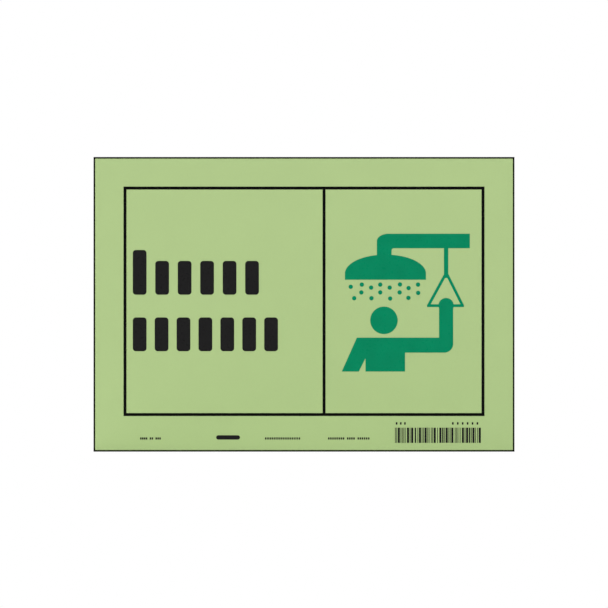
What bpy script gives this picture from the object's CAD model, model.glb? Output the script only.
"""Looks for the stick-on safety shower sign: printed film, cut plastic edges and a peel-off paper liner."""

import math

import bpy
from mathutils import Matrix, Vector, noise


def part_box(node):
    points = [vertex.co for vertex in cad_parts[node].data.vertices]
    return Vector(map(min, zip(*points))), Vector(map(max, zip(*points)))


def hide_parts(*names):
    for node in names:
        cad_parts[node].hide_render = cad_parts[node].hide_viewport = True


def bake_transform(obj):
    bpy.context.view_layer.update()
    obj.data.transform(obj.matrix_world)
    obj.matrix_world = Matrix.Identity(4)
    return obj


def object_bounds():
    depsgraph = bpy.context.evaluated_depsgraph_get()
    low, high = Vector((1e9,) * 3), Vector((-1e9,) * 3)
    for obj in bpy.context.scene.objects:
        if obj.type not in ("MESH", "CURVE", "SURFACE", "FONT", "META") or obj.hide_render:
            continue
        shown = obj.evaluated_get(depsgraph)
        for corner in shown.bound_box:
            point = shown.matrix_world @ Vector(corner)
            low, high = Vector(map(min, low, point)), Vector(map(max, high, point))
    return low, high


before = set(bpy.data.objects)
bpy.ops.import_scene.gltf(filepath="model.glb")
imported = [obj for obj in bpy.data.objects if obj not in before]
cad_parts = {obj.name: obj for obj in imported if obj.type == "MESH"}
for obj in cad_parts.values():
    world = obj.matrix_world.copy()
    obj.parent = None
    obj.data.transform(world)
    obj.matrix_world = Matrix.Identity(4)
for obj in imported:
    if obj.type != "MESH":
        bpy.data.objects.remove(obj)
cad_low, cad_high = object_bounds()

MM = 0.001

# The printed marks by ink. The marks that stand for lettering are a softer black than the rules.
RULE_BLACK = ("edge_keyline_print", "frame_print", "divider_print")
LETTER_BLACK = (
    "title_upper_print",
    "title_lower_print",
    "small_print_blocks",
    "blank_mark_print",
    "code_bars_print",
    "code_caption_blocks",
)
SYMBOL_GREEN = (
    "shower_head_print",
    "shower_pipe_print",
    "water_drops_print",
    "pull_rod_print",
    "pull_triangle_print",
    "person_head_print",
    "person_body_print",
    "raised_arm_print",
)

# Surface colours, linear.
FILM_COLOUR = (0.424, 0.568, 0.244)
GREEN_COLOUR = (0.0004, 0.231, 0.107)
RULE_BLACK_COLOUR = (0.0012, 0.0016, 0.0012)
LETTER_BLACK_COLOUR = (0.0125, 0.0120, 0.0125)
WHITE_PLASTIC_COLOUR = (0.80, 0.80, 0.77)
ADHESIVE_COLOUR = (0.80, 0.78, 0.68)
KRAFT_COLOUR = (0.52, 0.37, 0.22)
GLAZED_KRAFT_COLOUR = (0.60, 0.46, 0.29)
FLOOR_COLOUR = (0.97, 0.97, 0.97)

# The liner's mesh: how far its rows and columns are apart, how strongly the columns crowd towards
# the fold, and how far the soft fold reaches to each side of the sign's outer edge.
SHEET_SPACING = 2.5 * MM
COLUMN_CROWDING = 1.4

# The lip along the liner's slit: its reach and its rise, each with how much it wanders up the slit.
LIP_REACH = 9 * MM
LIP_REACH_SPREAD = 4 * MM
LIP_REACH_WAVES_PER_METRE = 22
LIP_RISE = 0.45 * MM
LIP_RISE_SPREAD = 0.35 * MM
LIP_RISE_WAVES_PER_METRE = 35
LEAST_LIP_RISE = 0.1 * MM

# The faint waves of the paper that lies on the adhesive.
PAPER_WAVE_HEIGHT = 0.02 * MM
PAPER_WAVES_PER_METRE = 45

# Camera framing: the sign's share of the picture's width, and how far it hangs below the middle.
SIGN_SHARE_OF_WIDTH = 0.6924
SIGN_DROP = 0.2 * MM
CAMERA_DISTANCE = 1.0
FLOOR_HALF_SIDE = 9.0


# ---------------------------------------------------------------------------- material building
class Surface:
    """A material with one Principled shader, and short calls that build the nodes in front of it."""

    def __init__(self, name, coordinates="Object"):
        self.material = bpy.data.materials.new(name)
        self.material.use_nodes = True
        self.tree = self.material.node_tree
        self.shader = self.tree.nodes["Principled BSDF"]
        self.place = self.node("ShaderNodeTexCoord").outputs[coordinates]

    def node(self, kind, **settings):
        made = self.tree.nodes.new(kind)
        for name, value in settings.items():
            setattr(made, name, value)
        return made

    def link(self, source, target):
        self.tree.links.new(source, target)

    def placed(self, scale, seed):
        """The surface's coordinates, scaled along each axis and moved on by the seed."""
        mapping = self.node("ShaderNodeMapping")
        self.link(self.place, mapping.inputs["Vector"])
        mapping.inputs["Location"].default_value = (seed, seed, seed)
        mapping.inputs["Scale"].default_value = scale
        return mapping.outputs["Vector"]

    def noise(self, size, detail=2.0, stretch=(1, 1, 1), seed=0.0):
        """Noise whose features measure about size metres, drawn out by stretch along each axis."""
        scale = [1 / (size * factor) for factor in stretch]
        texture = self.node("ShaderNodeTexNoise")
        texture.inputs["Scale"].default_value = 1.0
        texture.inputs["Detail"].default_value = detail
        self.link(self.placed(scale, seed), texture.inputs["Vector"])
        return texture.outputs["Fac"]

    def grains(self, size, seed=0.0):
        """Distance to the nearest of scattered grains about size metres apart."""
        scale = (1 / size, 1 / size, 1 / size)
        texture = self.node("ShaderNodeTexVoronoi")
        texture.inputs["Scale"].default_value = 1.0
        self.link(self.placed(scale, seed), texture.inputs["Vector"])
        return texture.outputs["Distance"]

    def between(self, value, low, high, start=0.3, end=0.7):
        """Maps value from start..end to low..high, held at both ends."""
        ranged = self.node("ShaderNodeMapRange")
        self.link(value, ranged.inputs["Value"])
        ranged.inputs["From Min"].default_value = start
        ranged.inputs["From Max"].default_value = end
        ranged.inputs["To Min"].default_value = low
        ranged.inputs["To Max"].default_value = high
        return ranged.outputs["Result"]

    def shaded(self, colour, *factors):
        """A colour multiplied by each of the given factors."""
        total = factors[0]
        for factor in factors[1:]:
            product = self.node("ShaderNodeMath", operation="MULTIPLY")
            self.link(total, product.inputs[0])
            self.link(factor, product.inputs[1])
            total = product.outputs[0]
        scaled = self.node("ShaderNodeVectorMath", operation="SCALE")
        scaled.inputs[0].default_value = colour
        self.link(total, scaled.inputs["Scale"])
        return scaled.outputs[0]

    def colour(self, value):
        self.link(value, self.shader.inputs["Base Color"])

    def roughness(self, value):
        self.link(value, self.shader.inputs["Roughness"])

    def bumps(self, *layers):
        """Bump layers, each a height and its depth in metres, one on top of the other."""
        normal = None
        for height, depth in layers:
            bump = self.node("ShaderNodeBump")
            bump.inputs["Distance"].default_value = depth
            self.link(height, bump.inputs["Height"])
            if normal is not None:
                self.link(normal, bump.inputs["Normal"])
            normal = bump.outputs["Normal"]
        self.link(normal, self.shader.inputs["Normal"])


# ---------------------------------------------------------------------------- materials
def film_surface():
    """Photoluminescent film: pale green with a fine pigment grain and a satin, slightly pebbled skin."""
    film = Surface("photoluminescent_film")
    grain = film.noise(size=0.25 * MM, detail=3)
    cloud = film.noise(size=30 * MM, detail=3, seed=4.0)
    speck = film.grains(size=0.9 * MM)
    tone = film.shaded(
        FILM_COLOUR,
        film.between(grain, 0.97, 1.03),
        film.between(cloud, 0.99, 1.01),
        film.between(speck, 0.93, 1.0, start=0.10, end=0.22),
    )
    film.colour(tone)
    film.roughness(film.between(film.noise(size=2 * MM, seed=2.0), 0.40, 0.50))
    film.bumps((film.noise(size=1.2 * MM, seed=9.0), 0.010 * MM), (grain, 0.004 * MM))
    film.shader.inputs["Specular IOR Level"].default_value = 0.35
    return film.material


def ink_surface(name, colour):
    """Screen-printed ink: even and satin, with faint density clouds and the relief of the screen's mesh."""
    ink = Surface(name)
    cloud = ink.noise(size=9 * MM, detail=3)
    fine = ink.noise(size=0.35 * MM, detail=2, seed=3.0)
    ink.colour(ink.shaded(colour, ink.between(cloud, 0.95, 1.05), ink.between(fine, 0.96, 1.04)))
    ink.roughness(ink.between(ink.noise(size=1.5 * MM, seed=5.0), 0.26, 0.34))
    threads = ink.node("ShaderNodeTexChecker")
    threads.inputs["Scale"].default_value = 1 / (0.2 * MM)
    ink.link(ink.place, threads.inputs["Vector"])
    ink.bumps((threads.outputs["Fac"], 0.0015 * MM), (ink.noise(size=0.8 * MM, seed=7.0), 0.005 * MM))
    ink.shader.inputs["Specular IOR Level"].default_value = 0.08
    return ink.material


def plastic_surface():
    """White PVC whose cut edges carry fine shear marks across the sheet's thickness."""
    plastic = Surface("white_pvc")
    shear = plastic.noise(size=0.12 * MM, detail=2, stretch=(1, 40, 1))
    cloud = plastic.noise(size=12 * MM, detail=3, seed=1.0)
    tone = plastic.shaded(
        WHITE_PLASTIC_COLOUR,
        plastic.between(shear, 0.93, 1.02),
        plastic.between(cloud, 0.98, 1.01),
    )
    plastic.colour(tone)
    plastic.roughness(plastic.between(shear, 0.35, 0.6))
    plastic.bumps((shear, 0.02 * MM))
    return plastic.material


def adhesive_surface():
    """Clear acrylic adhesive over white plastic: glossy, with faint coating streaks and tiny bubbles."""
    adhesive = Surface("acrylic_adhesive")
    cloud = adhesive.noise(size=18 * MM, detail=3)
    streak = adhesive.noise(size=1.4 * MM, detail=3, stretch=(60, 1, 1), seed=3.0)
    bubble = adhesive.between(adhesive.grains(size=3.5 * MM), 0.0, 1.0, start=0.05, end=0.12)
    tone = adhesive.shaded(
        ADHESIVE_COLOUR,
        adhesive.between(cloud, 0.985, 1.01),
        adhesive.between(streak, 0.985, 1.008),
        adhesive.between(bubble, 1.08, 1.0, start=0.0, end=1.0),
    )
    adhesive.colour(tone)
    adhesive.roughness(adhesive.between(streak, 0.14, 0.22))
    adhesive.bumps((streak, 0.005 * MM), (bubble, 0.01 * MM))
    return adhesive.material


def kraft_surface(name, colour, gloss_low, gloss_high, fibre_depth):
    """Kraft paper: fibres along the web, darker flecks and soft clouds of uneven pulp."""
    paper = Surface(name, coordinates="UV")
    along = paper.noise(size=0.25 * MM, detail=4, stretch=(1, 14, 1))
    across = paper.noise(size=0.30 * MM, detail=3, stretch=(9, 1, 1), seed=5.0)
    pulp = paper.noise(size=7 * MM, detail=4, seed=2.0)
    fleck = paper.noise(size=0.9 * MM, detail=1, stretch=(1, 2.5, 1), seed=8.0)
    tone = paper.shaded(
        colour,
        paper.between(along, 0.90, 1.08),
        paper.between(across, 0.94, 1.05),
        paper.between(pulp, 0.97, 1.025),
        paper.between(fleck, 0.80, 1.0, start=0.27, end=0.33),
    )
    paper.colour(tone)
    paper.roughness(paper.between(pulp, gloss_low, gloss_high))
    paper.bumps((pulp, 2 * fibre_depth), (along, fibre_depth), (across, fibre_depth))
    return paper.material


def floor_surface():
    """A plain pale studio floor."""
    floor = Surface("studio_floor")
    cloud = floor.noise(size=0.4, detail=3)
    floor.colour(floor.shaded(FLOOR_COLOUR, floor.between(cloud, 0.99, 1.01)))
    floor.shader.inputs["Roughness"].default_value = 0.9
    floor.shader.inputs["Specular IOR Level"].default_value = 0.1
    return floor.material


def paint(material, *node_names):
    """Gives CAD nodes a material."""
    for node_name in node_names:
        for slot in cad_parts[node_name].material_slots:
            slot.material = material


# ---------------------------------------------------------------------------- the paper liner
def lip_lift(distance_from_slit, height, side):
    """How far the lip along the slit stands off the adhesive. Its reach and rise wander with height,
    and each side of the slit has its own."""
    reach_wander = noise.noise(Vector((height * LIP_REACH_WAVES_PER_METRE, side * 3.0, 0.5)))
    rise_wander = noise.noise(Vector((height * LIP_RISE_WAVES_PER_METRE, side * 7.0, 1.5)))
    reach = LIP_REACH + LIP_REACH_SPREAD * reach_wander
    rise = LIP_RISE + LIP_RISE_SPREAD * rise_wander
    share = max(0.0, 1 - distance_from_slit / reach)
    return max(rise, LEAST_LIP_RISE) * share * share


def paper_wave(x, z):
    """How far the paper's own faint waves stand off the adhesive."""
    wander = noise.noise(Vector((x * PAPER_WAVES_PER_METRE, z * PAPER_WAVES_PER_METRE, 3.0)))
    return PAPER_WAVE_HEIGHT * (1 + wander)


def sheet_faces(rows, columns):
    """The faces of two grids of vertices, one skin after the other, and of the rim that joins them."""
    stride = columns + 1
    skin = stride * (rows + 1)
    inner = []
    outer = []
    for row in range(rows):
        for column in range(columns):
            low = row * stride + column
            high = low + stride
            inner.append((low, low + 1, high + 1, high))
            outer.append((skin + low, skin + high, skin + high + 1, skin + low + 1))

    border = list(range(stride))
    border += [row * stride + columns for row in range(1, rows + 1)]
    border += [rows * stride + column for column in range(columns - 1, -1, -1)]
    border += [row * stride for row in range(rows - 1, 0, -1)]
    rim = []
    for here, after in zip(border, border[1:] + border[:1]):
        rim.append((here, here + skin, after + skin, after))
    return inner, outer, rim


def liner_sheet(name, node_name, slit_x, fold_x, side):
    """A paper sheet in the node's place, divided so that it can bend, with its columns crowded
    towards the fold at the sign's outer edge. It lies flat on the adhesive apart from its waves and
    the lifted lip along the slit."""
    low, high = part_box(node_name)
    rows = math.ceil((high.z - low.z) / SHEET_SPACING)
    columns = math.ceil(COLUMN_CROWDING * (high.x - low.x) / SHEET_SPACING)
    shares = [(column / columns) ** COLUMN_CROWDING for column in range(columns + 1)]
    across = sorted(fold_x + (slit_x - fold_x) * share for share in shares)
    vertices = []
    coordinates = []
    for skin_y in (low.y, high.y):
        for row in range(rows + 1):
            z = low.z + (high.z - low.z) * row / rows
            for x in across:
                lift = paper_wave(x, z) + lip_lift(abs(x - slit_x), z, side)
                vertices.append((x, skin_y + lift, z))
                coordinates.append((x, z))

    inner, outer, rim = sheet_faces(rows, columns)
    mesh = bpy.data.meshes.new(name)
    mesh.from_pydata(vertices, [], inner + outer + rim)
    mesh.materials.append(kraft_outside)
    mesh.materials.append(kraft_inside)
    for face in mesh.polygons:
        face.material_index = 1 if face.index < len(inner) else 0
        face.use_smooth = face.index < len(inner) + len(outer)
    rim_edges = {key for face in mesh.polygons if not face.use_smooth for key in face.edge_keys}
    for edge in mesh.edges:
        edge.use_edge_sharp = edge.key in rim_edges
    uv_layer = mesh.uv_layers.new(name="sheet")
    for loop in mesh.loops:
        uv_layer.data[loop.index].uv = coordinates[loop.vertex_index]
    mesh.update()
    sheet = bpy.data.objects.new(name, mesh)
    bpy.context.scene.collection.objects.link(sheet)
    return sheet


def add_liner(name, node_name, side):
    """A liner half that holds on at the sign's outer edge and folds back from there when peeled. Its
    slit lies towards +X of that edge where side is 1 and towards -X where it is -1. The turn is
    centred on the edge, so the paper hardly stretches and the fold is soft on one side."""
    low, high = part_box(node_name)
    fold_x, slit_x = (low.x, high.x) if side > 0 else (high.x, low.x)
    sheet = liner_sheet(name, node_name, slit_x, fold_x, side)
    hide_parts(node_name)
    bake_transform(sheet)


# ---------------------------------------------------------------------------- studio
def add_floor():
    """A level floor under the sign's lower edge."""
    side = FLOOR_HALF_SIDE
    z = cad_low.z
    corners = [(-side, -side, z), (side, -side, z), (side, side, z), (-side, side, z)]
    mesh = bpy.data.meshes.new("floor")
    mesh.from_pydata(corners, [], [(0, 1, 2, 3)])
    mesh.materials.append(floor_surface())
    floor = bpy.data.objects.new("floor", mesh)
    bpy.context.scene.collection.objects.link(floor)


def add_sun(name, towards_light, strength, softness_degrees):
    """A distant soft light that comes from the given direction."""
    lamp = bpy.data.lights.new(name, "SUN")
    lamp.energy = strength
    lamp.angle = math.radians(softness_degrees)
    sun = bpy.data.objects.new(name, lamp)
    sun.rotation_mode = "QUATERNION"
    sun.rotation_quaternion = Vector(towards_light).to_track_quat("Z", "Y")
    bpy.context.scene.collection.objects.link(sun)


def add_world(ambient, front_ambient, front_end):
    """White to the eye. As light it is an even studio, darker in front of the sign, from straight
    ahead to where a direction's y reaches front_end, so that the printed blacks mirror nothing bright."""
    world = bpy.data.worlds.new("studio")
    world.use_nodes = True
    tree = world.node_tree
    nodes = tree.nodes
    background = nodes["Background"]
    seen = nodes.new("ShaderNodeBackground")
    seen.inputs["Color"].default_value = (1, 1, 1, 1)
    direction = nodes.new("ShaderNodeTexCoord")
    split = nodes.new("ShaderNodeSeparateXYZ")
    strength = nodes.new("ShaderNodeMapRange")
    strength.inputs["From Min"].default_value = -1.0
    strength.inputs["From Max"].default_value = front_end
    strength.inputs["To Min"].default_value = front_ambient
    strength.inputs["To Max"].default_value = ambient
    path = nodes.new("ShaderNodeLightPath")
    mix = nodes.new("ShaderNodeMixShader")
    tree.links.new(direction.outputs["Generated"], split.inputs[0])
    tree.links.new(split.outputs["Y"], strength.inputs["Value"])
    tree.links.new(strength.outputs["Result"], background.inputs["Strength"])
    tree.links.new(path.outputs["Is Camera Ray"], mix.inputs["Fac"])
    tree.links.new(background.outputs[0], mix.inputs[1])
    tree.links.new(seen.outputs[0], mix.inputs[2])
    tree.links.new(mix.outputs[0], nodes["World Output"].inputs["Surface"])
    bpy.context.scene.world = world


def add_camera():
    """Square on to the sign's front, without perspective, as flat artwork is pictured."""
    sign_width = cad_high.x - cad_low.x
    lens = bpy.data.cameras.new("front_camera")
    lens.type = "ORTHO"
    lens.ortho_scale = sign_width / SIGN_SHARE_OF_WIDTH
    camera = bpy.data.objects.new("front_camera", lens)
    camera.location = (0, -CAMERA_DISTANCE, SIGN_DROP)
    camera.rotation_euler = (math.pi / 2, 0, 0)
    bpy.context.scene.collection.objects.link(camera)
    bpy.context.scene.camera = camera


# ---------------------------------------------------------------------------- put together
paint(film_surface(), "glow_film")
paint(plastic_surface(), "backing_panel")
paint(adhesive_surface(), "adhesive_sheet")
paint(ink_surface("rule_black_ink", RULE_BLACK_COLOUR), *RULE_BLACK)
paint(ink_surface("letter_black_ink", LETTER_BLACK_COLOUR), *LETTER_BLACK)
paint(ink_surface("symbol_green_ink", GREEN_COLOUR), *SYMBOL_GREEN)

kraft_outside = kraft_surface("kraft_paper", KRAFT_COLOUR, 0.70, 0.85, fibre_depth=0.006 * MM)
kraft_inside = kraft_surface("glazed_kraft_paper", GLAZED_KRAFT_COLOUR, 0.30, 0.36, fibre_depth=0.002 * MM)
add_liner("liner_paper_wide", "release_liner_wide", side=-1)
add_liner("liner_paper_narrow", "release_liner_narrow", side=1)

add_floor()
add_world(ambient=0.48, front_ambient=0.02, front_end=-0.55)
add_sun("key_light", towards_light=(-0.55, -1.0, 0.95), strength=1.78, softness_degrees=30)
add_sun("fill_light", towards_light=(0.8, -0.9, 0.35), strength=0.6, softness_degrees=40)
add_sun("back_light", towards_light=(-0.6, 1.0, 0.9), strength=1.4, softness_degrees=40)
add_sun("top_light", towards_light=(0, 0, 1), strength=1.05, softness_degrees=20)
add_camera()
bpy.context.scene.view_settings.view_transform = "Standard"
